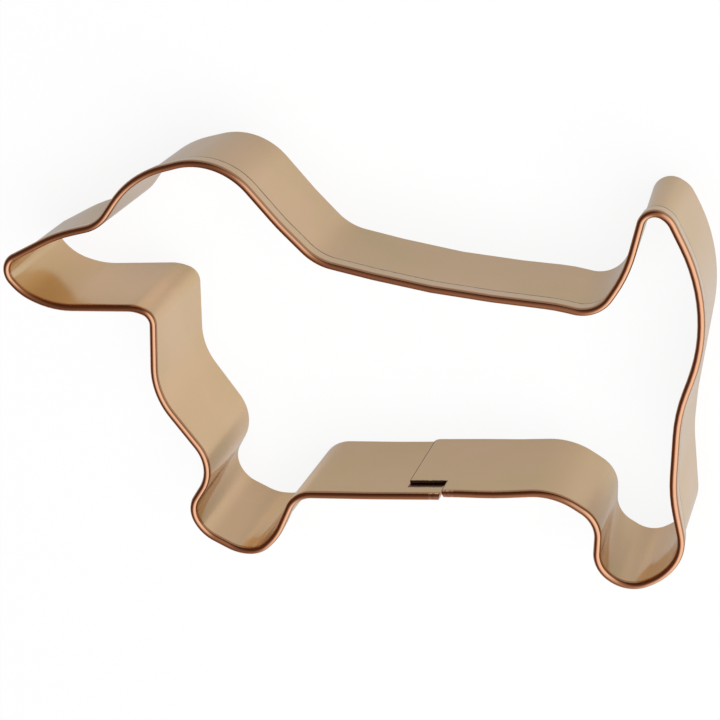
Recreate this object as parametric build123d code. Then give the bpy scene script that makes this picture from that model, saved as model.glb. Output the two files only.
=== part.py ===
from build123d import *
import math
import os

# A cookie cutter in the shape of a long-backed dog, bent from one strip of
# copper sheet. +X points to the tail, +Y to the back and +Z up to the
# hemmed rim, and the plain cutting edge stands on Z = 0. The origin is under
# the middle of the part.

# Size of the outline along the middle of the sheet, in millimetres
outline_length = 124.0
outline_breadth = 72.8

# Wall and hem
wall_height = 22.2
sheet = 0.45
hem_gap = 0.38
hem_lip_gap = 0.1
hem_depth = 3.8

# Seam under the belly, where the ends of the strip lap
lap_length = 6.66
lap_gap = 0.08
end_gap = 0.25
notch_depth = 4.5
tongue_corner = 1.0
solder_base = 1.3
solder_top = 16.3
solder_length = 5.4
overrun = 2.0

# Shares of the runs beside it that a bend's two ends may take together
run_share = 0.98

# The corners of the outline, anticlockwise from the seam. The rim and the
# cutting edge each have a corner (x, y) as shares of the outline's length and
# breadth, and a bend radius as a share of the breadth. The soft lower edge
# springs in or out a little, so the two outlines differ.
corner_shares = [
    # belly, thigh and knee
    ((0.230, -0.249, 0.800), (0.230, -0.244, 0.800)),
    ((0.317, -0.220, 0.172), (0.308, -0.223, 0.172)),
    ((0.385, -0.283, 0.082), (0.376, -0.288, 0.080)),
    # hind foot and leg
    ((0.384, -0.407, 0.066), (0.377, -0.406, 0.072)),
    ((0.428, -0.452, 0.077), (0.430, -0.453, 0.079)),
    ((0.473, -0.405, 0.146), (0.473, -0.411, 0.146)),
    ((0.498, -0.335, 0.105), (0.495, -0.330, 0.105)),
    ((0.477, -0.191, 0.412), (0.481, -0.140, 0.412)),
    # rump and tail
    ((0.477, 0.016, 0.412), (0.483, -0.040, 0.412)),
    ((0.518, 0.269, 0.419), (0.505, 0.319, 0.419)),
    ((0.451, 0.474, 0.049), (0.453, 0.467, 0.056)),
    ((0.423, 0.501, 0.028), (0.411, 0.505, 0.042)),
    ((0.404, 0.339, 0.343), (0.393, 0.339, 0.343)),
    ((0.366, 0.227, 0.085), (0.357, 0.219, 0.081)),
    # back and neck
    ((0.308, 0.240, 0.400), (0.300, 0.235, 0.400)),
    ((0.135, 0.245, 2.266), (0.135, 0.236, 2.000)),
    ((-0.031, 0.286, 0.137), (-0.035, 0.281, 0.137)),
    ((-0.086, 0.370, 0.549), (-0.088, 0.366, 0.549)),
    # head and muzzle
    ((-0.172, 0.525, 0.170), (-0.172, 0.518, 0.160)),
    ((-0.299, 0.453, 0.247), (-0.298, 0.451, 0.242)),
    ((-0.353, 0.318, 0.113), (-0.354, 0.315, 0.117)),
    ((-0.420, 0.282, 0.412), (-0.421, 0.283, 0.412)),
    ((-0.513, 0.191, 0.036), (-0.513, 0.190, 0.036)),
    ((-0.481, 0.133, 0.124), (-0.481, 0.129, 0.128)),
    ((-0.435, 0.102, 0.220), (-0.433, 0.106, 0.218)),
    # jaw, throat and chest
    ((-0.304, 0.126, 0.110), (-0.305, 0.132, 0.108)),
    ((-0.273, 0.111, 0.040), (-0.274, 0.118, 0.036)),
    ((-0.276, -0.100, 0.179), (-0.273, -0.090, 0.166)),
    ((-0.184, -0.286, 0.107), (-0.189, -0.273, 0.109)),
    # front foot and leg
    ((-0.227, -0.412, 0.059), (-0.226, -0.396, 0.071)),
    ((-0.205, -0.468, 0.088), (-0.206, -0.455, 0.084)),
    ((-0.154, -0.503, 0.104), (-0.154, -0.490, 0.108)),
    ((-0.123, -0.497, 0.068), (-0.125, -0.486, 0.054)),
    ((-0.097, -0.449, 0.175), (-0.094, -0.455, 0.140)),
    ((-0.067, -0.323, 0.078), (-0.064, -0.319, 0.084)),
    # belly
    ((0.044, -0.2985, 1.500), (0.044, -0.2955, 1.500)),
]

# Under the belly, the run from the start of the hem to the first bend, as a
# share of the length, with that bend's radius as a share of the breadth, and
# the place where the other end of the strip stops. It lies in one direction
# from the last corner at both heights, so the sheets lap face to face.
first_run_share, first_radius_share = 0.024, 0.8
strip_end_share = ((0.1539, -0.2718), (0.1539, -0.2688))

# Sizes that follow from the ones above
bead_radius = sheet + hem_gap / 2
bead_offset = sheet / 2 + hem_gap / 2
fold_base = wall_height - bead_radius
hem_base = wall_height - hem_depth
tongue_top = wall_height - notch_depth
lap_step = sheet + lap_gap
tongue_length = end_gap + lap_length
tongue_room = (-sheet, (sheet + lap_gap) / 2)


def place(corner, level):
    """The point and bend radius of a corner, level 0 at the edge, 1 at the rim."""
    rim, edge = corner
    x, y, radius = (low + (high - low) * level for high, low in zip(rim, edge))
    return Vector(x * outline_length, y * outline_breadth), radius * outline_breadth


def seam(level):
    """The tongue's tip, the start of the hem and the hemmed end, with their direction."""
    (rim_x, rim_y), (edge_x, edge_y) = strip_end_share
    last = Vector(
        (edge_x + (rim_x - edge_x) * level) * outline_length,
        (edge_y + (rim_y - edge_y) * level) * outline_breadth,
    )
    along = (last - place(corner_shares[-1], level)[0]).normalized()
    first = last + along * end_gap + along.rotate(Axis.Z, 90) * lap_step
    return first - along * tongue_length, first, last, along


def strip_path(level, hemmed=False):
    """Points and bend radii of the strip, from the tongue's tip or from the start of the hem."""
    tip, first, last, along = seam(level)
    belly = first + along * first_run_share * outline_length
    bends = [place(corner, level) for corner in corner_shares]
    start = first if hemmed else tip
    return [(start, 0), (belly, first_radius_share * outline_breadth)] + bends + [(last, 0)]


def turns(points):
    """Direction of each run between the points, and the angle of each bend."""
    runs = [(b - a).normalized() for a, b in zip(points, points[1:])]
    angles = [math.atan2(a.cross(b).Z, a.dot(b)) for a, b in zip(runs, runs[1:])]
    return runs, angles


def reaches(points, radii, angles):
    """How far each bend reaches along its runs, held back where two bends meet."""
    wanted = [0] + [r * math.tan(abs(a) / 2) for r, a in zip(radii[1:], angles)] + [0]
    spans = [(b - a).length * run_share for a, b in zip(points, points[1:])]
    fits = [min(1, span / max(a + b, sheet)) for span, a, b in zip(spans, wanted, wanted[1:])]
    return [reach * min(fits[max(i - 1, 0)], fits[min(i, len(fits) - 1)]) for i, reach in enumerate(wanted)]


def trace(path, height, offset):
    """Lines and arcs along the path at a height, moved outwards by offset."""
    points, radii = [point for point, _ in path], [radius for _, radius in path]
    runs, angles = turns(points)
    reach = reaches(points, radii, angles)
    lift = Vector(0, 0, height)
    outward = [run.rotate(Axis.Z, -90) * offset for run in runs]
    edges = []
    here = points[0] + outward[0] + lift
    for point, length, angle, before, after, side, next_side in zip(
        points[1:], reach[1:], angles, runs, runs[1:], outward, outward[1:]
    ):
        radius = length / math.tan(angle / 2)
        start, end = point - before * length, point + after * length
        centre = start + before.rotate(Axis.Z, 90) * radius
        crown = centre + (point - centre).normalized() * abs(radius + offset)
        edges.append(Line(here, start + side + lift))
        edges.append(ThreePointArc(start + side + lift, crown + lift, end + next_side + lift))
        here = end + next_side + lift
    edges.append(Line(here, points[-1] + outward[-1] + lift))
    return edges


def skin(rail, other_rail):
    """Faces between two rails of the same number of edges."""
    return [Face.make_surface_from_curves(a, b) for a, b in zip(rail, other_rail)]


def sheet_body(low, low_sides, high, high_sides):
    """A standing sheet between a path and its sides at one height and those at another."""
    (low_path, low_height), (high_path, high_height) = low, high
    foot = [trace(low_path, low_height, side) for side in low_sides]
    head = [trace(high_path, high_height, side) for side in high_sides]
    faces = skin(*foot) + skin(*head) + skin(foot[0], head[0]) + skin(foot[1], head[1])
    for at, edge in ((0, 0), (1, -1)):
        ends = [Line(inner[edge] @ at, outer[edge] @ at) for inner, outer in (foot, head)]
        faces += skin(ends[:1], ends[1:])
    return Solid(Shell(faces))


def along_tongue(near, far, low, high, sides):
    """A slab that leans with the tongue, between two distances back from the hem's start."""
    ends = []
    for height in (low, high):
        tip, first, last, along = seam(height / fold_base)
        ends.append(([(first - along * far, 0), (first - along * near, 0)], height))
    return sheet_body(ends[0], sides, ends[1], sides)


def tongue_notch():
    """The space above the tongue, where the hem was cut away."""
    return along_tongue(0, tongue_length + overrun, tongue_top, fold_base, tongue_room)


def tongue_nip():
    """What rounding the tongue's lower corner takes away."""
    start = tongue_length - tongue_corner
    block = along_tongue(start, tongue_length + overrun, -overrun, tongue_corner, tongue_room)
    tip, first, last, along = seam(0)
    centre = first - along * start + Vector(0, 0, tongue_corner)
    pin = Plane(origin=centre, z_dir=along.rotate(Axis.Z, 90)) * Cylinder(tongue_corner, overrun)
    return block - pin


def wall():
    """The upright sheet, with its tongue."""
    sides = (-sheet / 2, sheet / 2)
    body = sheet_body((strip_path(0), 0), sides, (strip_path(1), fold_base), sides)
    return body - tongue_notch() - tongue_nip()


def fold():
    """The half-round bead where the sheet turns outwards at the rim."""
    path = trace(strip_path(1, hemmed=True), fold_base, bead_offset)
    forward = path[0] % 0
    section = Plane(origin=path[0] @ 0, x_dir=forward.rotate(Axis.Z, 90), z_dir=forward)
    ring = Circle(bead_radius) - Circle(hem_gap / 2)
    upper_half = Pos(0, bead_radius, 0) * Rectangle(bead_radius * 2, bead_radius * 2)
    return sweep(section * (ring & upper_half), path=Wire(path))


def flange():
    """The folded part of the sheet, which closes on the wall towards its lip."""
    near, far = sheet / 2 + hem_lip_gap, sheet / 2 + hem_gap
    lip = (strip_path(hem_base / fold_base, hemmed=True), hem_base)
    root = (strip_path(1, hemmed=True), fold_base)
    return sheet_body(lip, (near, near + sheet), root, (far, far + sheet))


def open_skin(body):
    """The faces of a body but for the level ones at the bead's foot, where it meets its neighbour."""
    return [
        face
        for face in body.faces()
        if face.bounding_box().size.Z > lap_gap or abs(face.center().Z - fold_base) > lap_gap
    ]


def cutter_strip():
    """The whole strip of sheet: wall, bead, folded flange and tongue in one piece."""
    return Solid(Shell(open_skin(wall()) + open_skin(fold()) + open_skin(flange())))


def lap_solder():
    """The film of solder between the tongue and the other end of the strip."""
    near = end_gap + (lap_length - solder_length) / 2
    sides = (sheet / 2, sheet / 2 + lap_gap)
    return along_tongue(near, near + solder_length, solder_base, solder_top, sides)


def main():
    """Build both pieces, set them over the origin and write them."""
    strip = cutter_strip()
    middle = strip.bounding_box().center()
    shift = Pos(-middle.X, -middle.Y, 0)
    os.makedirs("parts", exist_ok=True)
    export_step(shift * strip, "parts/cutter_strip.step")
    export_step(shift * lap_solder(), "parts/lap_solder.step")


main()
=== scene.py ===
import logging
import math
from collections.abc import Sequence
from dataclasses import dataclass, field
from enum import Enum
from typing import Any

import bpy
from mathutils import Matrix, Vector


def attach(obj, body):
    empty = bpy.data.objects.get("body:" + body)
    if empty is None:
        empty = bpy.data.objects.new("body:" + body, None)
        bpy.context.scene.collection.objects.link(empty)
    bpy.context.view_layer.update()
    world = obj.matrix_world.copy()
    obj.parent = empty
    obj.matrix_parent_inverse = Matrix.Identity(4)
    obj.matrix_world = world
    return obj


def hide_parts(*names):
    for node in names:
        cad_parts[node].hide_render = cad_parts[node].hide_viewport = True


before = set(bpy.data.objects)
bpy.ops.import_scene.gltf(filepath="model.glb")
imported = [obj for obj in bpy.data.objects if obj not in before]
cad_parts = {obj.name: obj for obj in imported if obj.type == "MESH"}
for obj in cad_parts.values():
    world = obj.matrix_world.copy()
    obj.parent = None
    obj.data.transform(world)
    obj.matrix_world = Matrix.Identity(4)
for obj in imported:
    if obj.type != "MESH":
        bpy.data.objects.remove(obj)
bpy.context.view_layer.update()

MM = 0.001
BODY = "root"
UNROLLED = "unrolled"
OUTWARD = "outward"
ALONG = "along"
UP = Vector((0.0, 0.0, 1.0))
FACES_UP = 0.7
LIFT_REACH = 5.0
HALF_STEP = 0.5
CUT_SLOT = 1
# Slot of the dark cut faces in the lap: raw edge with painted shade.
DARK_CUT_AND_SHADE_SLOT = 2
WHITE = (1.0, 1.0, 1.0, 1.0)

log = logging.getLogger("cookie_cutter")

Shares = tuple[float, float, float]
Colour = tuple[float, float, float, float]
Band = tuple[float, float, float, float]
Links = dict[str | int, Any]


class Level(Enum):
    """The two heights at which the outline is drawn."""

    RIM = 0
    CUTTING_EDGE = 1


class Board:
    """Lays out the nodes of one tree and joins them."""

    def __init__(self, tree: bpy.types.NodeTree) -> None:
        """Start on a tree.

        Args:
            tree: The tree that the nodes go into.
        """
        self.tree = tree

    def add(self, kind: str, inputs: Links | None = None, **settings: Any) -> bpy.types.Node:
        """Add a node.

        Args:
            kind: The node's type name.
            inputs: Values or sockets for its inputs, by name or place.
            settings: Its own properties.

        Returns:
            The new node.
        """
        node = self.tree.nodes.new(kind)
        for name, value in settings.items():
            setattr(node, name, value)
        for name, value in (inputs or {}).items():
            if isinstance(value, bpy.types.NodeSocket):
                self.tree.links.new(value, node.inputs[name])
            else:
                node.inputs[name].default_value = value
        return node

    def math(self, operation: str, *terms: Any, clamp: bool = False) -> bpy.types.NodeSocket:
        """Do a sum on numbers.

        Args:
            operation: The sum's name.
            terms: Values or sockets.
            clamp: Whether the answer is held between zero and one.

        Returns:
            The answer's socket.
        """
        node = self.add("ShaderNodeMath", dict(enumerate(terms)), operation=operation, use_clamp=clamp)
        return node.outputs[0]

    def vector(self, operation: str, *terms: Any, scale: Any = None) -> bpy.types.NodeSocket:
        """Do a sum on vectors.

        Args:
            operation: The sum's name.
            terms: Values or sockets.
            scale: A factor, for the sum that takes one.

        Returns:
            The answer's socket.
        """
        inputs: Links = dict(enumerate(terms))
        if scale is not None:
            inputs["Scale"] = scale
        return self.add("ShaderNodeVectorMath", inputs, operation=operation).outputs[0]

    def blend(self, factor: Any, low: Any, high: Any) -> bpy.types.NodeSocket:
        """Mix two colours.

        Args:
            factor: How far from the first to the second.
            low: The first colour or its socket.
            high: The second colour or its socket.

        Returns:
            The mixed colour's socket.
        """
        node = self.add("ShaderNodeMix", {0: factor, 6: low, 7: high}, data_type="RGBA")
        return node.outputs[2]

    def span(self, value: Any, low: float, high: float, start: float, end: float) -> bpy.types.NodeSocket:
        """Carry a value from one range to another, held at its ends.

        Args:
            value: The value's socket.
            low: The start of the first range.
            high: The end of the first range.
            start: What the start becomes.
            end: What the end becomes.

        Returns:
            The carried value's socket.
        """
        return self.add("ShaderNodeMapRange", {0: value, 1: low, 2: high, 3: start, 4: end}).outputs[0]

    def ramp(self, factor: Any, stops: Sequence[tuple[float, Colour]]) -> bpy.types.NodeSocket:
        """Run through a row of colours.

        Args:
            factor: Where along the row, from zero to one.
            stops: The places and their colours.

        Returns:
            The colour's socket.
        """
        node = self.add("ShaderNodeValToRGB", {0: factor})
        elements = node.color_ramp.elements
        while len(elements) < len(stops):
            elements.new(1.0)
        for element, (place, colour) in zip(elements, stops):
            element.position = place
            element.color = colour
        return node.outputs[0]

    def noise(
        self, place: Any, scale: float, detail: float = 2.0, rough: float = 0.5
    ) -> bpy.types.NodeSocket:
        """Lay a cloudy pattern.

        Args:
            place: Where the pattern is read.
            scale: How fine it is.
            detail: How many finer layers it has.
            rough: How strong those layers are.

        Returns:
            The pattern's socket, from zero to one.
        """
        inputs: Links = {"Vector": place, "Scale": scale, "Detail": detail, "Roughness": rough}
        return self.add("ShaderNodeTexNoise", inputs).outputs[0]


@dataclass(frozen=True)
class Finish:
    """A metal's look."""

    name: str
    colour: Colour
    stain: Colour
    roughness: float
    roughness_spread: float
    dent_depth: float
    grain_depth: float
    cloud_scale: float = 70.0
    cloud_range: tuple[float, float] = (0.35, 0.7)
    stain_share: float = 0.6
    grain_scale: float = 260.0
    grain_stretch: tuple[float, float, float] = (1.0, 12.0, 1.0)
    grain_share: float = 0.4
    speck_scale: float = 900.0
    speck_share: float = 0.3
    dent_scale: float = 38.0
    rough_range: tuple[float, float] = (0.35, 0.65)

    def material(self) -> bpy.types.Material:
        """Build the finish as a material.

        Returns:
            The new material.
        """
        material = bpy.data.materials.new(self.name)
        material.use_nodes = True
        material.node_tree.nodes.clear()
        board = Board(material.node_tree)
        place = self.place(board)
        flat = board.add("ShaderNodeMapping", {"Vector": place, "Scale": self.grain_stretch}).outputs[0]
        cloud = board.noise(place, self.cloud_scale, detail=3.0)
        grain = board.noise(flat, self.grain_scale, detail=3.0, rough=0.6)
        stained = board.span(cloud, *self.cloud_range, 0.0, self.stain_share)
        inputs: Links = {
            "Base Color": self.tint(board, place, board.blend(stained, self.colour, self.stain)),
            "Metallic": 1.0,
            "Roughness": self.rough(board, cloud, grain),
            "Normal": self.relief(board, place, grain),
        }
        shader = board.add("ShaderNodeBsdfPrincipled", inputs)
        board.add("ShaderNodeOutputMaterial", {"Surface": shader.outputs[0]})
        return material

    def rough(self, board: Board, cloud: Any, grain: Any) -> bpy.types.NodeSocket:
        """Vary the roughness a little with the cloud and the grain.

        Args:
            board: The material's board.
            cloud: The cloud's socket.
            grain: The grain's socket.

        Returns:
            The roughness socket.
        """
        mixed = board.math("ADD", board.math("MULTIPLY", cloud, 1.0 - self.grain_share),
                           board.math("MULTIPLY", grain, self.grain_share))
        smoothest = self.roughness - self.roughness_spread
        roughest = self.roughness + self.roughness_spread
        return board.span(mixed, *self.rough_range, smoothest, roughest)

    def relief(self, board: Board, place: Any, grain: Any) -> bpy.types.NodeSocket:
        """Lay shallow dents and the rolling lines on the surface.

        Args:
            board: The material's board.
            place: Where the patterns are read.
            grain: The grain's socket.

        Returns:
            The surface direction's socket.
        """
        dent = board.noise(place, self.dent_scale, detail=1.0)
        dents = board.add("ShaderNodeBump", {"Strength": 1.0, "Distance": self.dent_depth, "Height": dent})
        speck = board.math("MULTIPLY", board.noise(place, self.speck_scale), self.speck_share)
        line = board.math("ADD", grain, speck)
        inputs: Links = {"Strength": 1.0, "Distance": self.grain_depth, "Height": line}
        inputs["Normal"] = dents.outputs[0]
        return board.add("ShaderNodeBump", inputs).outputs[0]

    def place(self, board: Board) -> bpy.types.NodeSocket:
        """Where the pattern is read, on the object."""
        return board.add("ShaderNodeTexCoord").outputs["Object"]

    def tint(self, board: Board, place: Any, colour: Any) -> bpy.types.NodeSocket:
        """The colour as it is, with no change across the metal."""
        return colour


@dataclass(frozen=True)
class SheetFinish(Finish):
    """The strip's bright sheet, whose bead is painted redder than its walls as painted reflection, with
    bands of painted shade and of shear marks with painted shadow.

    Each band spans a stretch along the unrolled sheet and a stretch across it.
    """

    # Painted reflection: the bead's redder colour stands in for the warmer reflection that the fold shows.
    bead_reflection_colour: Colour = (0.85, 0.48, 0.30, 1.0)
    bead_blur: float = 0.3 * MM
    bead: tuple[float, float] = (0.0, 0.0)
    # Painted shade: darker bands at the foot of the bead, on the wall and on the flange.
    crease_shade: tuple[Band, ...] = ()
    crease_shade_colour: Colour = (0.46, 0.25, 0.14, 1.0)
    # Shear marks and painted shadow: dark lines that are partly the raw cut edge and partly painted shadow
    # in the lap and under the lip.
    shear_marks_and_shade: tuple[Band, ...] = ()
    shear_marks_and_shade_colour: Colour = (0.16, 0.09, 0.055, 1.0)
    scuffed: tuple[Band, ...] = ()
    scuffed_colour: Colour = (0.98, 0.68, 0.58, 1.0)
    band_blur: float = 0.05 * MM
    jag: float = 0.2 * MM
    jag_scale: float = 1500.0
    scuff_scale: float = 1800.0
    scuff_range: tuple[float, float] = (0.42, 0.58)

    def place(self, board: Board) -> bpy.types.NodeSocket:
        """Where the pattern is read, on the unrolled sheet."""
        return board.add("ShaderNodeUVMap", uv_map=UNROLLED).outputs[0]

    def tint(self, board: Board, place: Any, colour: Any) -> bpy.types.NodeSocket:
        """Redden the bead as painted reflection, darken the crease bands with painted shade and the shear
        bands with shear marks and painted shadow, and brighten the worn bands.

        Args:
            board: The material's board.
            place: The unrolled sheet's place.
            colour: The wall's colour.

        Returns:
            The colour's socket.
        """
        along, across, _ = board.add("ShaderNodeSeparateXYZ", {0: place}).outputs
        # Painted reflection: the bead is reddened.
        over_bead = self.within(board, across, *self.bead, self.bead_blur)
        colour = board.blend(over_bead, colour, self.bead_reflection_colour)
        # Painted shade at the foot of the bead.
        colour = self.paint(board, (along, across), self.crease_shade, colour, self.crease_shade_colour)
        # Shear marks and painted shadow, with ragged edges.
        shift = board.span(board.noise(place, self.jag_scale), 0.0, 1.0, -self.jag, self.jag)
        ragged = board.math("ADD", across, shift)
        colour = self.paint(board, (along, ragged), self.shear_marks_and_shade, colour, self.shear_marks_and_shade_colour)
        worn = board.span(board.noise(place, self.scuff_scale), *self.scuff_range, 0.0, 1.0)
        return self.paint(board, (along, across), self.scuffed, colour, self.scuffed_colour, worn)

    def paint(
        self, board: Board, at: tuple[Any, Any], bands: Sequence[Band], under: Any, over: Colour,
        strength: Any = 1.0,
    ) -> bpy.types.NodeSocket:
        """Lay bands of one colour over the sheet.

        Args:
            board: The material's board.
            at: The sockets of the place along and across the sheet.
            bands: The bands to lay.
            under: The sheet's colour.
            over: The bands' colour.
            strength: How much of it shows, as a value or a socket.

        Returns:
            The colour's socket.
        """
        for along_from, along_to, across_from, across_to in bands:
            inside = board.math("MULTIPLY", self.within(board, at[0], along_from, along_to, self.band_blur),
                                self.within(board, at[1], across_from, across_to, self.band_blur))
            under = board.blend(board.math("MULTIPLY", inside, strength), under, over)
        return under

    def within(
        self, board: Board, value: Any, low: float, high: float, blur: float
    ) -> bpy.types.NodeSocket:
        """Tell whether a place lies between two lines.

        Args:
            board: The material's board.
            value: The place's socket.
            low: The first line.
            high: The second line.
            blur: How far each line is blurred to either side.

        Returns:
            The answer's socket, from zero to one.
        """
        rise = board.span(value, low - blur, low + blur, 0.0, 1.0)
        fall = board.span(value, high - blur, high + blur, 1.0, 0.0)
        return board.math("MULTIPLY", rise, fall)


@dataclass(frozen=True)
class Outline:
    """The dog's outline, with its bends as shares of its length and breadth.

    Each bend has a place and a radius at the rim, and the same at the cutting edge, as the two outlines
    differ a little. The bends run anticlockwise from the seam.
    """

    length: float = 124.0 * MM
    breadth: float = 72.8 * MM
    box_middle: tuple[float, float] = (-0.0222 * MM, -0.0441 * MM)
    run_share: float = 0.98
    first_run_share: float = 0.024
    first_radius_share: float = 0.8
    end_share: tuple[tuple[float, float], tuple[float, float]] = ((0.1539, -0.2718), (0.1539, -0.2688))
    end_gap: float = 0.25 * MM
    lap_step: float = 0.53 * MM
    tongue_length: float = 6.91 * MM
    tongue_steps: tuple[float, ...] = (0.0, 0.02, 0.04, 0.07, 0.1, 0.135, 0.3, 0.5, 0.7, 0.85, 1.0)
    bend_step: float = math.radians(4.0)
    run_step: float = 2.5 * MM
    bends: tuple[tuple[Shares, Shares], ...] = (
        # belly, thigh and knee
        ((0.230, -0.249, 0.800), (0.230, -0.244, 0.800)),
        ((0.317, -0.220, 0.172), (0.308, -0.223, 0.172)),
        ((0.385, -0.283, 0.082), (0.376, -0.288, 0.080)),
        # hind foot and leg
        ((0.384, -0.407, 0.066), (0.377, -0.406, 0.072)),
        ((0.428, -0.452, 0.077), (0.430, -0.453, 0.079)),
        ((0.473, -0.405, 0.146), (0.473, -0.411, 0.146)),
        ((0.498, -0.335, 0.105), (0.495, -0.330, 0.105)),
        ((0.477, -0.191, 0.412), (0.481, -0.140, 0.412)),
        # rump and tail
        ((0.477, 0.016, 0.412), (0.483, -0.040, 0.412)),
        ((0.518, 0.269, 0.419), (0.505, 0.319, 0.419)),
        ((0.451, 0.474, 0.049), (0.453, 0.467, 0.056)),
        ((0.423, 0.501, 0.028), (0.411, 0.505, 0.042)),
        ((0.404, 0.339, 0.343), (0.393, 0.339, 0.343)),
        ((0.366, 0.227, 0.085), (0.357, 0.219, 0.081)),
        # back and neck
        ((0.308, 0.240, 0.400), (0.300, 0.235, 0.400)),
        ((0.135, 0.245, 2.266), (0.135, 0.236, 2.000)),
        ((-0.031, 0.286, 0.137), (-0.035, 0.281, 0.137)),
        ((-0.086, 0.370, 0.549), (-0.088, 0.366, 0.549)),
        # head and muzzle
        ((-0.172, 0.525, 0.170), (-0.172, 0.518, 0.160)),
        ((-0.299, 0.453, 0.247), (-0.298, 0.451, 0.242)),
        ((-0.353, 0.318, 0.113), (-0.354, 0.315, 0.117)),
        ((-0.420, 0.282, 0.412), (-0.421, 0.283, 0.412)),
        ((-0.513, 0.191, 0.036), (-0.513, 0.190, 0.036)),
        ((-0.481, 0.133, 0.124), (-0.481, 0.129, 0.128)),
        ((-0.435, 0.102, 0.220), (-0.433, 0.106, 0.218)),
        # jaw, throat and chest
        ((-0.304, 0.126, 0.110), (-0.305, 0.132, 0.108)),
        ((-0.273, 0.111, 0.040), (-0.274, 0.118, 0.036)),
        ((-0.276, -0.100, 0.179), (-0.273, -0.090, 0.166)),
        ((-0.184, -0.286, 0.107), (-0.189, -0.273, 0.109)),
        # front foot and leg
        ((-0.227, -0.412, 0.059), (-0.226, -0.396, 0.071)),
        ((-0.205, -0.468, 0.088), (-0.206, -0.455, 0.084)),
        ((-0.154, -0.503, 0.104), (-0.154, -0.490, 0.108)),
        ((-0.123, -0.497, 0.068), (-0.125, -0.486, 0.054)),
        ((-0.097, -0.449, 0.175), (-0.094, -0.455, 0.140)),
        ((-0.067, -0.323, 0.078), (-0.064, -0.319, 0.084)),
        # belly
        ((0.044, -0.2985, 1.500), (0.044, -0.2955, 1.500)),
    )

    def place(self, x: float, y: float) -> Vector:
        """The point of a pair of shares, measured from the middle of the strip's box."""
        return Vector((x * self.length - self.box_middle[0], y * self.breadth - self.box_middle[1], 0.0))

    def corners(self, level: Level) -> tuple[list[Vector], list[float]]:
        """List the strip's corners from the tongue's tip to the hemmed end.

        Args:
            level: Which of the two levels is wanted.

        Returns:
            The corners' points and their bend radii.
        """
        rows = [bend[level.value] for bend in self.bends]
        points = [self.place(x, y) for x, y, _ in rows]
        last = self.place(*self.end_share[level.value])
        along = (last - points[-1]).normalized()
        first = last + along * self.end_gap + left_of(along) * self.lap_step
        tip = first - along * self.tongue_length
        belly = first + along * self.first_run_share * self.length
        radius_shares = [self.first_radius_share, *(radius for _, _, radius in rows)]
        radii = [0.0, *(share * self.breadth for share in radius_shares), 0.0]
        return [tip, belly, *points, last], radii

    def rail(self, level: Level, counts: list[tuple[int, int]] | None = None) -> "Rail":
        """Walk along the strip's lines and arcs.

        Args:
            level: Which of the two levels is walked.
            counts: How many steps each run and bend has, or nothing to choose them here.

        Returns:
            The stations of the walk.
        """
        points, radii = self.corners(level)
        runs = [(b - a).normalized() for a, b in zip(points, points[1:])]
        angles = [math.atan2(a.cross(b).z, a.dot(b)) for a, b in zip(runs, runs[1:])]
        wanted = [0.0, *(r * math.tan(abs(a) / 2) for r, a in zip(radii[1:], angles)), 0.0]
        spans = [(b - a).length * self.run_share for a, b in zip(points, points[1:])]
        fits = [min(1.0, span / max(a + b, MM)) for span, a, b in zip(spans, wanted, wanted[1:])]
        reach = [w * min(fits[max(i - 1, 0)], fits[min(i, len(fits) - 1)]) for i, w in enumerate(wanted)]
        walk = Rail()
        here = points[0]
        for i, run in enumerate(runs):
            end = points[i + 1] - run * reach[i + 1]
            length = (end - here).length
            angle = angles[i] if i < len(angles) else 0.0
            steps, turns = counts[i] if counts else self.steps(length, angle)
            shares = self.first_run(length, steps) if i == 0 else [k / steps for k in range(steps)]
            for share in shares:
                walk.add(here.lerp(end, share), right_of(run))
            walk.counts.append((steps, turns))
            if i == len(angles):
                walk.add(end, right_of(run))
                break
            radius = reach[i + 1] / math.tan(angle / 2)
            centre = end + left_of(run) * radius
            for k in range(turns):
                turn = Matrix.Rotation(angle * k / turns, 3, UP)
                walk.add(centre + turn @ (end - centre), turn @ right_of(run))
            here = points[i + 1] + runs[i + 1] * reach[i + 1]
        return walk

    def steps(self, run: float, angle: float) -> tuple[int, int]:
        """How many steps a run and the bend after it take."""
        return max(1, round(run / self.run_step)), max(2, math.ceil(abs(angle) / self.bend_step))

    def first_run(self, run: float, steps: int) -> list[float]:
        """Shares of the first run, with a station where the hem starts."""
        tongue = [share * self.tongue_length / run for share in self.tongue_steps]
        rest = 1.0 - tongue[-1]
        return tongue + [tongue[-1] + rest * k / steps for k in range(1, steps)]


@dataclass
class Rail:
    """Stations along one edge of the strip."""

    points: list[Vector] = field(default_factory=list)
    outwards: list[Vector] = field(default_factory=list)
    counts: list[tuple[int, int]] = field(default_factory=list)

    def add(self, point: Vector, outward: Vector) -> None:
        """Add one station."""
        self.points.append(point.copy())
        self.outwards.append(outward.copy())

    def distances(self) -> list[float]:
        """How far along the rail each station is."""
        total = [0.0]
        for a, b in zip(self.points, self.points[1:]):
            total.append(total[-1] + (b - a).length)
        return total


def left_of(run: Vector) -> Vector:
    """The level direction to the left of a run."""
    return Vector((-run.y, run.x, 0.0))


def right_of(run: Vector) -> Vector:
    """The level direction to the right of a run."""
    return Vector((run.y, -run.x, 0.0))


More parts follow.
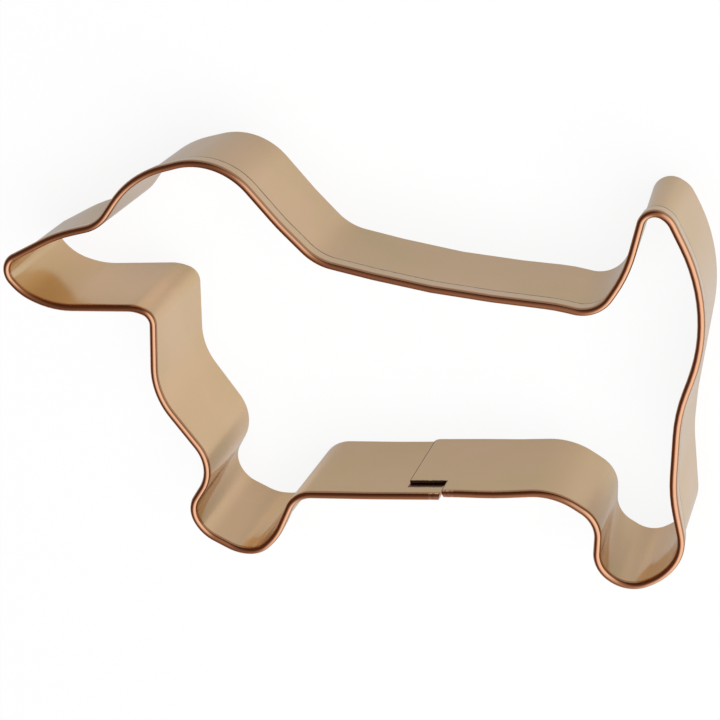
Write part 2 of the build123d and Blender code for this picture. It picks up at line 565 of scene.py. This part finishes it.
@dataclass
class CutterStrip:
    """The one strip of sheet that makes the cutter, folded over at its rim."""

    outline: Outline = field(default_factory=Outline)
    sheet: float = 0.45 * MM
    wall_height: float = 22.2 * MM
    hem_gap: float = 0.38 * MM
    hem_lip_gap: float = 0.1 * MM
    hem_depth: float = 3.8 * MM
    tongue_corner: float = 1.0 * MM
    end_slope: float = 0.45 * MM
    # The dark lines at the tip, the notch and the lip are shear marks with painted shadow; the crease width
    # sizes the painted shade at the bead's foot.
    tip_line: float = 0.12 * MM
    notch_line: float = 0.2 * MM
    notch_shade_reach: float = 1.6 * MM
    lip_line: float = 0.34 * MM
    scuff_length: float = 2.2 * MM
    worn_length: float = 0.9 * MM
    crease_width: float = 0.3 * MM
    wall_rows: int = 28
    tongue_rows: int = 23
    bead_rows: int = 14
    flange_rows: int = 5

    @property
    def bead_radius(self) -> float:
        """The radius of the fold along the middle of the sheet."""
        return (self.sheet + self.hem_gap) / 2

    @property
    def fold_base(self) -> float:
        """The height at which the fold starts."""
        return self.wall_height - self.bead_radius - self.sheet / 2

    @property
    def bead_end(self) -> float:
        """How far across the unrolled sheet the bead ends."""
        return self.fold_base + math.pi * self.bead_radius

    @property
    def flange_depth(self) -> float:
        """How far the flange reaches down from the fold."""
        return self.hem_depth - (self.wall_height - self.fold_base)

    @property
    def lip(self) -> float:
        """How far across the unrolled sheet the flange's lip lies."""
        return self.bead_end + self.flange_depth

    @property
    def tongue_top(self) -> float:
        """The height at which the tongue is cut off."""
        return self.fold_base * self.tongue_rows / self.wall_rows

    @property
    def unrolled_length(self) -> float:
        """The length of the strip with its tongue."""
        return self.outline.rail(Level.RIM).distances()[-1]

    def shear_marks_and_shade(self) -> tuple[Band, ...]:
        """Where the shears left a dark line, deepened by painted shadow in the lap and under the lip: the
        tongue's tip, the notch and the flange's lip.
        """
        whole = self.unrolled_length
        tongue = self.outline.tongue_length
        notch_foot = self.tongue_top - self.notch_line
        shade_top = self.tongue_top + self.notch_shade_reach
        return (
            (-tongue, self.tip_line, -self.wall_height, self.tongue_top),
            (-tongue, tongue + self.tip_line, notch_foot, self.fold_base),
            # Painted shadow on the hemmed end's wall just above the tongue's top edge, over the edge's
            # shear mark.
            (whole - tongue + self.notch_line, whole - self.outline.end_gap, notch_foot, shade_top),
            (tongue, whole, self.lip - self.lip_line, self.lip + self.lip_line),
        )

    def scuffed(self) -> tuple[Band, ...]:
        """Where the bead is worn bright: at its two ends, and twice over at the very end."""
        whole = self.unrolled_length
        tongue = self.outline.tongue_length
        return (
            (tongue, tongue + self.scuff_length, self.fold_base, self.bead_end),
            (whole - self.scuff_length, whole, self.fold_base, self.bead_end),
            (whole - self.worn_length, whole, self.fold_base, self.bead_end),
        )

    def crease_shade(self) -> tuple[Band, ...]:
        """Where painted shade darkens the sheet at the foot of the bead, on the wall and on the flange."""
        whole = self.unrolled_length
        tongue = self.outline.tongue_length
        return tuple(
            (tongue, whole, crease - self.crease_width, crease + self.crease_width)
            for crease in (self.fold_base, self.bead_end)
        )

    def guide(self) -> tuple[bpy.types.Object, int]:
        """Build the two rails that the sheet follows.

        Returns:
            The guide, and how many stations each of its rails has.
        """
        rim = self.outline.rail(Level.RIM)
        edge = self.outline.rail(Level.CUTTING_EDGE, rim.counts)
        mesh = bpy.data.meshes.new("strip_guide")
        mesh.from_pydata([tuple(p) for p in edge.points + rim.points], [], [])
        outward = mesh.attributes.new(OUTWARD, "FLOAT_VECTOR", "POINT")
        outward.data.foreach_set("vector", [c for v in edge.outwards + rim.outwards for c in v])
        along = mesh.attributes.new(ALONG, "FLOAT", "POINT")
        along.data.foreach_set("value", edge.distances() + rim.distances())
        guide = bpy.data.objects.new("strip_guide", mesh)
        bpy.context.scene.collection.objects.link(guide)
        return guide, len(rim.points)

    def sizes(self, stations: int) -> dict[str, float | int]:
        """The fold's named inputs."""
        return {
            "Stations": stations,
            "Tongue stations": len(self.outline.tongue_steps) - 1,
            "Wall rows": self.wall_rows,
            "Tongue rows": self.tongue_rows,
            "Bead rows": self.bead_rows,
            "Flange rows": self.flange_rows,
            "Fold base": self.fold_base,
            "Bead radius": self.bead_radius,
            "Flange depth": self.flange_depth,
            "Lip closing": self.hem_gap - self.hem_lip_gap,
            "Tongue corner": self.tongue_corner,
            "End slope": self.end_slope,
        }

    def fold(
        self, sizes: dict[str, float | int], copper: bpy.types.Material
    ) -> tuple[bpy.types.NodeTree, dict[str, str]]:
        """Build the tree that folds a flat sheet along the guide.

        Args:
            sizes: The named inputs and their values.
            copper: The sheet's finish.

        Returns:
            The tree, and the identifier of each named input.
        """
        tree = bpy.data.node_groups.new("fold_strip", "GeometryNodeTree")
        board = Board(tree)
        tree.interface.new_socket("Geometry", in_out="INPUT", socket_type="NodeSocketGeometry")
        tree.interface.new_socket("Geometry", in_out="OUTPUT", socket_type="NodeSocketGeometry")
        names = {}
        for name, value in sizes.items():
            kind = "NodeSocketInt" if isinstance(value, int) else "NodeSocketFloat"
            names[name] = tree.interface.new_socket(name, in_out="INPUT", socket_type=kind).identifier
        given = board.add("NodeGroupInput").outputs
        grid, column, row = self.flat_sheet(board, given)
        height, out, across = self.profile(board, given, row)
        level = board.math("DIVIDE", height, given["Fold base"], clamp=True)
        position = board.add("GeometryNodeInputPosition").outputs[0]
        edge_point, rim_point = self.read_guide(board, given, column, "FLOAT_VECTOR", position)
        outward = named(board, OUTWARD, "FLOAT_VECTOR")
        edge_side, rim_side = self.read_guide(board, given, column, "FLOAT_VECTOR", outward)
        _, along = self.read_guide(board, given, column, "FLOAT", named(board, ALONG, "FLOAT"))
        point = self.between(board, level, edge_point, rim_point)
        side = board.vector("NORMALIZE", self.between(board, level, edge_side, rim_side))
        standing = board.math("ADD", height, self.corner_lift(board, given, along, height))
        folded = board.vector("ADD", point, board.vector("SCALE", side, scale=out))
        folded = board.vector("ADD", folded, self.end_slide(board, given, column, out, side))
        place = board.vector("ADD", folded, board.add("ShaderNodeCombineXYZ", {2: standing}).outputs[0])
        shaped = board.add("GeometryNodeSetPosition", {"Geometry": grid, "Position": place}).outputs[0]
        marked = self.unroll(board, shaped, along, across)
        cut = board.add("GeometryNodeDeleteGeometry",
                        {"Geometry": marked, "Selection": self.over_tongue(board, given, column, row)})
        whole = board.add("GeometryNodeRealizeInstances", {0: cut.outputs[0]})
        dressed = board.add("GeometryNodeSetMaterial", {"Geometry": whole.outputs[0], "Material": copper})
        board.add("NodeGroupOutput", {0: dressed.outputs[0]})
        return tree, names

    def flat_sheet(self, board: Board, given: Any) -> tuple[Any, Any, Any]:
        """Lay the flat sheet as a grid.

        Args:
            board: The tree's board.
            given: The tree's inputs.

        Returns:
            The sockets of the grid, and of each point's column and row.
        """
        rows = board.math("ADD", board.math("ADD", given["Wall rows"], given["Bead rows"]),
                          board.math("ADD", given["Flange rows"], 1.0))
        grid = board.add("GeometryNodeMeshGrid", {"Vertices X": given["Stations"], "Vertices Y": rows})
        index = board.add("GeometryNodeInputIndex").outputs[0]
        column = board.math("FLOOR", board.math("DIVIDE", board.math("ADD", index, HALF_STEP), rows))
        row = board.math("SUBTRACT", index, board.math("MULTIPLY", column, rows))
        return grid.outputs["Mesh"], column, row

    def profile(self, board: Board, given: Any, row: Any) -> tuple[Any, Any, Any]:
        """Take each row up the wall, round the bead and down the flange.

        Args:
            board: The tree's board.
            given: The tree's inputs.
            row: The row's socket.

        Returns:
            The sockets of the height, and of how far each row lies outwards and across the flat sheet.
        """
        wall = board.math("DIVIDE", row, given["Wall rows"], clamp=True)
        past_wall = board.math("SUBTRACT", row, given["Wall rows"])
        bead = board.math("DIVIDE", past_wall, given["Bead rows"], clamp=True)
        past_bead = board.math("SUBTRACT", past_wall, given["Bead rows"])
        flange = board.math("DIVIDE", past_bead, given["Flange rows"], clamp=True)
        angle = board.math("MULTIPLY", bead, math.pi)
        up_wall = board.math("MULTIPLY", wall, given["Fold base"])
        over_bead = board.math("MULTIPLY", board.math("SINE", angle), given["Bead radius"])
        drop = board.math("MULTIPLY", flange, given["Flange depth"])
        height = board.math("SUBTRACT", board.math("ADD", up_wall, over_bead), drop)
        turned = board.math("SUBTRACT", 1.0, board.math("COSINE", angle))
        swing = board.math("MULTIPLY", turned, given["Bead radius"])
        out = board.math("SUBTRACT", swing, board.math("MULTIPLY", flange, given["Lip closing"]))
        round_bead = board.math("MULTIPLY", angle, given["Bead radius"])
        across = board.math("ADD", board.math("ADD", up_wall, round_bead), drop)
        return height, out, across

    def corner_lift(self, board: Board, given: Any, along: Any, height: Any) -> bpy.types.NodeSocket:
        """Round off the tongue's lower corner by lifting its foot.

        Args:
            board: The tree's board.
            given: The tree's inputs.
            along: How far along the strip each point is.
            height: How high each point is.

        Returns:
            The lift's socket.
        """
        corner = given["Tongue corner"]
        inset = board.math("MAXIMUM", board.math("SUBTRACT", corner, along), 0.0)
        squares = board.math("SUBTRACT", board.math("POWER", corner, 2.0), board.math("POWER", inset, 2.0))
        depth = board.math("SQRT", board.math("MAXIMUM", squares, 0.0))
        lift = board.math("SUBTRACT", corner, depth)
        reach = board.math("MULTIPLY", corner, LIFT_REACH)
        fade = board.math("SUBTRACT", 1.0, board.math("DIVIDE", height, reach), clamp=True)
        return board.math("MULTIPLY", lift, fade)

    def end_slide(self, board: Board, given: Any, column: Any, out: Any, side: Any) -> bpy.types.NodeSocket:
        """Slope the hem's two ends away from each other.

        Args:
            board: The tree's board.
            given: The tree's inputs.
            column: Each point's column.
            out: How far outwards each point lies.
            side: The outward direction.

        Returns:
            The slide's socket.
        """
        last_station = board.math("SUBTRACT", given["Stations"], 1.0)
        hem_start = board.math("COMPARE", column, given["Tongue stations"], HALF_STEP)
        hem_end = board.math("COMPARE", column, last_station, HALF_STEP)
        opening = board.math("SUBTRACT", hem_start, hem_end)
        share = board.math("DIVIDE", out, board.math("MULTIPLY", given["Bead radius"], 2.0), clamp=True)
        slide = board.math("MULTIPLY", board.math("MULTIPLY", opening, share), given["End slope"])
        return board.vector("SCALE", board.vector("CROSS_PRODUCT", tuple(UP), side), scale=slide)

    def unroll(self, board: Board, shaped: Any, along: Any, across: Any) -> bpy.types.NodeSocket:
        """Store each point's place on the flat sheet.

        Args:
            board: The tree's board.
            shaped: The folded sheet.
            along: How far along the strip each point is.
            across: How far across it each point is.

        Returns:
            The marked sheet's socket.
        """
        flat_place = board.add("ShaderNodeCombineXYZ", {0: along, 1: across}).outputs[0]
        unrolled = board.add("GeometryNodeFieldOnDomain", {0: flat_place},
                             data_type="FLOAT_VECTOR", domain="POINT")
        inputs: Links = {"Geometry": shaped, "Name": UNROLLED, "Value": unrolled.outputs[0]}
        stored = board.add("GeometryNodeStoreNamedAttribute", inputs, data_type="FLOAT2", domain="CORNER")
        return stored.outputs[0]

    def over_tongue(self, board: Board, given: Any, column: Any, row: Any) -> bpy.types.NodeSocket:
        """Pick the points above the tongue, which are cut away."""
        before_hem = board.math("LESS_THAN", column, given["Tongue stations"])
        above = board.math("GREATER_THAN", row, board.math("ADD", given["Tongue rows"], HALF_STEP))
        return board.math("MULTIPLY", before_hem, above)

    def read_guide(self, board: Board, given: Any, column: Any, kind: str, value: Any) -> tuple[Any, Any]:
        """Read a value at a station of both rails.

        Args:
            board: The tree's board.
            given: The tree's inputs.
            column: The station's number.
            kind: The value's type.
            value: The value's socket.

        Returns:
            The value's sockets at the cutting edge and at the rim.
        """
        at_rim = board.math("ADD", column, given["Stations"])
        read: Links = {"Geometry": given["Geometry"], "Value": value}
        edge, rim = (
            board.add("GeometryNodeSampleIndex", {**read, "Index": at}, data_type=kind, domain="POINT")
            for at in (column, at_rim)
        )
        return edge.outputs[0], rim.outputs[0]

    def between(self, board: Board, level: Any, low: Any, high: Any) -> bpy.types.NodeSocket:
        """The vector at a level between two."""
        rise = board.vector("SCALE", board.vector("SUBTRACT", high, low), scale=level)
        return board.vector("ADD", low, rise)

    def build(self, finishes: Sequence[bpy.types.Material]) -> bpy.types.Object:
        """Fold the strip and give it its thickness.

        Args:
            finishes: The finishes of the sheet's faces, of its cut edges and of the notch's dark cut edge,
                which is raw edge with painted shade in the lap.

        Returns:
            The finished piece.
        """
        guide, stations = self.guide()
        sizes = self.sizes(stations)
        tree, names = self.fold(sizes, finishes[0])
        modifier = guide.modifiers.new("fold", "NODES")
        modifier.node_group = tree
        for name, value in sizes.items():
            modifier[names[name]] = value
        mesh = plain_mesh(guide, "copper_strip")
        mesh.materials.clear()
        for material in finishes:
            mesh.materials.append(material)
        piece = bpy.data.objects.new("copper_strip", mesh)
        bpy.context.scene.collection.objects.link(piece)
        bpy.data.objects.remove(guide)
        thick = piece.modifiers.new("thickness", "SOLIDIFY")
        thick.thickness = self.sheet
        thick.offset = 0.0
        thick.use_even_offset = True
        thick.material_offset_rim = CUT_SLOT
        piece.data = plain_mesh(piece, "copper_strip")
        piece.modifiers.clear()
        finish_cuts(piece.data)
        return piece


def named(board: Board, name: str, kind: str) -> bpy.types.NodeSocket:
    """An attribute of the guide."""
    return board.add("GeometryNodeInputNamedAttribute", {"Name": name}, data_type=kind).outputs[0]


def finish_cuts(mesh: bpy.types.Mesh) -> None:
    """Shade the sheet smooth and its cut edges crisp, give the notch's upward cut faces their dark finish
    of raw edge and painted shade, and rest the strip on the floor.

    Args:
        mesh: The sheet, with its cut faces in the second material.
    """
    cut_edges = {key for face in mesh.polygons if face.material_index for key in face.edge_keys}
    for vertex in mesh.vertices:
        vertex.co.z = max(vertex.co.z, 0.0)
    for face in mesh.polygons:
        face.use_smooth = True
        # Cut faces that face up, such as the tongue's top in the lap, take a dark finish: raw edge with
        # painted shade.
        if face.material_index and face.normal.z > FACES_UP:
            face.material_index = DARK_CUT_AND_SHADE_SLOT
    smooth_edges = {key for face in mesh.polygons if not face.material_index for key in face.edge_keys}
    for edge in mesh.edges:
        edge.use_edge_sharp = edge.key in cut_edges and edge.key in smooth_edges


def plain_mesh(shown: bpy.types.Object, name: str) -> bpy.types.Mesh:
    """Turn what an object's modifiers make into a mesh of its own.

    Args:
        shown: The object.
        name: The mesh's name.

    Returns:
        The new mesh.
    """
    graph = bpy.context.evaluated_depsgraph_get()
    graph.update()
    mesh = bpy.data.meshes.new_from_object(shown.evaluated_get(graph), depsgraph=graph)
    mesh.name = name
    return mesh


@dataclass(frozen=True)
class Softbox:
    """A square lamp that faces the cutter."""

    name: str
    towards: tuple[float, float, float]
    distance: float
    width: float
    depth: float
    power: float

    def build(self) -> None:
        """Hang the lamp."""
        lamp = bpy.data.lights.new(self.name, "AREA")
        lamp.shape = "RECTANGLE"
        lamp.size = self.width
        lamp.size_y = self.depth
        lamp.energy = self.power
        holder = bpy.data.objects.new(self.name, lamp)
        direction = Vector(self.towards).normalized()
        holder.location = direction * self.distance
        holder.rotation_euler = direction.to_track_quat("Z", "Y").to_euler()
        holder.visible_glossy = False
        bpy.context.scene.collection.objects.link(holder)


@dataclass
class Studio:
    """The pale floor, the surroundings, the lamps and the camera.

    The photograph's size, focal length and plumb point are in its pixels. The plumb point is where the
    lines that stand upright on the floor meet.
    """

    floor_size: float = 6.0
    floor_drop: float = 0.01 * MM
    floor_colour: Colour = (0.90, 0.90, 0.90, 1.0)
    seen_floor_colour: Colour = (1.0, 1.0, 1.0, 1.0)
    room_colour: Colour = (0.20, 0.20, 0.20, 1.0)
    white_share: float = 0.88
    mirrored_share: float = 0.85
    mirrored_floor: float = 0.655
    floor_gloss: float = 0.24
    floor_blur: float = 0.3
    tent_towards: tuple[float, float, float] = (0.93, -0.22, 0.28)
    tent_start: float = -0.3
    tent_full: float = 0.75
    tent_colours: tuple[tuple[float, Colour], ...] = (
        (0.0, (0.075, 0.037, 0.023, 1.0)),
        (0.5, (0.38, 0.26, 0.20, 1.0)),
        (1.0, (1.12, 1.08, 1.05, 1.0)),
    )
    photo_size: float = 720.0
    focal_pixels: float = 2000.0
    plumb_point: tuple[float, float] = (1031.0, -493.0)
    sensor: float = 36.0
    clip_start: float = 0.01
    camera_place: tuple[float, float, float] = (98.246 * MM, 139.994 * MM, 326.118 * MM)
    lamps: tuple[Softbox, ...] = (
        Softbox(
            "overhead_softbox", towards=(0.30, -0.05, 0.95), distance=1.0, width=0.95, depth=1.1, power=11.3
        ),
    )

    def floor(self) -> None:
        """Lay the floor, which looks white and keeps the cutter's shadow."""
        half = self.floor_size / 2
        mesh = bpy.data.meshes.new("floor")
        corners = [(-half, -half), (half, -half), (half, half), (-half, half)]
        mesh.from_pydata([(x, y, -self.floor_drop) for x, y in corners], [], [(0, 1, 2, 3)])
        mesh.materials.append(self.floor_material())
        floor = bpy.data.objects.new("floor", mesh)
        bpy.context.scene.collection.objects.link(floor)

    def floor_material(self) -> bpy.types.Material:
        """Build the floor's finish: white paper to the camera, with a soft gloss in what mirrors it.

        Returns:
            The new material.
        """
        material = bpy.data.materials.new("floor")
        material.use_nodes = True
        material.node_tree.nodes.clear()
        board = Board(material.node_tree)
        path = board.add("ShaderNodeLightPath").outputs
        seen = path["Is Camera Ray"]
        mirrored = board.math("MAXIMUM", path["Is Glossy Ray"], path["Is Transmission Ray"])
        colour = board.blend(seen, self.floor_colour, self.seen_floor_colour)
        paper = board.add("ShaderNodeBsdfDiffuse", {"Color": colour}).outputs[0]
        strength = board.math("ADD", seen, board.math("MULTIPLY", mirrored, self.mirrored_floor))
        white = board.add("ShaderNodeEmission", {"Color": WHITE, "Strength": strength}).outputs[0]
        share = board.math("ADD", board.math("MULTIPLY", seen, self.white_share),
                           board.math("MULTIPLY", mirrored, self.mirrored_share))
        matt = board.add("ShaderNodeMixShader", {0: share, 1: paper, 2: white}).outputs[0]
        gloss = board.add("ShaderNodeBsdfGlossy", {"Color": WHITE, "Roughness": self.floor_blur}).outputs[0]
        shine = board.math("MULTIPLY", mirrored, self.floor_gloss)
        mixed = board.add("ShaderNodeMixShader", {0: shine, 1: matt, 2: gloss}).outputs[0]
        board.add("ShaderNodeOutputMaterial", {"Surface": mixed})
        return material

    def room(self) -> None:
        """Surround the cutter with a room that is bright on one side, and that the camera sees as white."""
        world = bpy.data.worlds.new("studio")
        world.use_nodes = True
        world.node_tree.nodes.clear()
        board = Board(world.node_tree)
        dim = board.add("ShaderNodeBackground", {"Color": self.room_colour}).outputs[0]
        white = board.add("ShaderNodeBackground", {"Color": WHITE}).outputs[0]
        path = board.add("ShaderNodeLightPath").outputs
        looking = board.vector("NORMALIZE", board.add("ShaderNodeTexCoord").outputs["Generated"])
        towards = tuple(Vector(self.tent_towards).normalized())
        facing = board.add("ShaderNodeVectorMath", {0: looking, 1: towards}, operation="DOT_PRODUCT")
        inputs: Links = {0: facing.outputs["Value"], 1: self.tent_start, 2: self.tent_full}
        inside = board.add("ShaderNodeMapRange", inputs, interpolation_type="SMOOTHSTEP").outputs[0]
        tent_colour = board.ramp(inside, self.tent_colours)
        tent = board.add("ShaderNodeBackground", {"Color": tent_colour}).outputs[0]
        seen, glossy = path["Is Camera Ray"], path["Is Glossy Ray"]
        mirrored = board.add("ShaderNodeMixShader", {0: glossy, 1: dim, 2: tent}).outputs[0]
        mixed = board.add("ShaderNodeMixShader", {0: seen, 1: mirrored, 2: white}).outputs[0]
        board.add("ShaderNodeOutputWorld", {"Surface": mixed})
        bpy.context.scene.world = world

    def view_turn(self) -> Matrix:
        """Work out how the camera is turned, from where the photograph's upright lines meet.

        Returns:
            The turn from the camera's axes to the object's.
        """
        middle = self.photo_size / 2
        across = self.plumb_point[0] - middle
        down = self.plumb_point[1] - middle
        upward = -Vector((across, -down, -self.focal_pixels)).normalized()
        sideways = Vector((1.0, 0.0, 0.0))
        sideways = (sideways - upward * sideways.dot(upward)).normalized()
        return Matrix((sideways, upward.cross(sideways), upward))

    def camera(self) -> None:
        """Set the camera at the photograph's angle."""
        data = bpy.data.cameras.new("camera")
        data.lens = self.focal_pixels * self.sensor / self.photo_size
        data.sensor_width = self.sensor
        data.clip_start = self.clip_start
        holder = bpy.data.objects.new("camera", data)
        holder.matrix_world = Matrix.Translation(self.camera_place) @ self.view_turn().to_4x4()
        bpy.context.scene.collection.objects.link(holder)
        bpy.context.scene.camera = holder

    def build(self) -> None:
        """Build the whole studio."""
        self.floor()
        self.room()
        for lamp in self.lamps:
            lamp.build()
        self.camera()
        bpy.context.scene.view_settings.view_transform = "Standard"


def finishes(strip: CutterStrip) -> tuple[bpy.types.Material, ...]:
    """Build the strip's finishes.

    Args:
        strip: The strip that they dress.

    Returns:
        The finishes of the rolled sheet, of its cut edges and of the notch's dark cut edge, which is raw
        edge with painted shade in the lap.
    """
    rolled = SheetFinish(
        "rolled_copper", (0.79, 0.555, 0.350, 1.0), (0.69, 0.525, 0.265, 1.0),
        roughness=0.15, roughness_spread=0.025, dent_depth=0.02 * MM, grain_depth=0.001 * MM,
        cloud_scale=45.0, bead=(strip.fold_base, strip.bead_end), crease_shade=strip.crease_shade(),
        shear_marks_and_shade=strip.shear_marks_and_shade(), scuffed=strip.scuffed(),
    )
    cut = Finish(
        "cut_copper", (0.80, 0.50, 0.38, 1.0), (0.60, 0.34, 0.24, 1.0),
        roughness=0.38, roughness_spread=0.08, dent_depth=0.05 * MM, grain_depth=0.02 * MM,
    )
    # The notch's upward cut faces: raw edge darkened with painted shade in the lap.
    dark_cut_and_shade = Finish(
        "dark_cut_copper_and_shade", (0.34, 0.21, 0.11, 1.0), (0.0, 0.0, 0.0, 1.0),
        roughness=0.5, roughness_spread=0.1, dent_depth=0.05 * MM, grain_depth=0.03 * MM,
        cloud_scale=2600.0,
    )
    return rolled.material(), cut.material(), dark_cut_and_shade.material()


def dress_solder() -> None:
    """Give the solder film in the lap its dull finish."""
    solder = Finish(
        "solder", (0.60, 0.59, 0.57, 1.0), (0.42, 0.41, 0.40, 1.0),
        roughness=0.45, roughness_spread=0.1, dent_depth=0.05 * MM, grain_depth=0.01 * MM,
    )
    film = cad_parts["lap_solder"]
    film.data.materials.clear()
    film.data.materials.append(solder.material())
    log.info("%s: kept from the frame", film.name)


def main() -> None:
    """Build and dress the cutter and its studio, and note its size."""
    logging.basicConfig(level=logging.INFO, format="%(message)s")
    strip = CutterStrip()
    piece = strip.build(finishes(strip))
    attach(piece, BODY)
    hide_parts("cutter_strip")
    log.info("%s: %d faces", piece.name, len(piece.data.polygons))
    dress_solder()
    Studio().build()


if __name__ == "__main__":
    main()
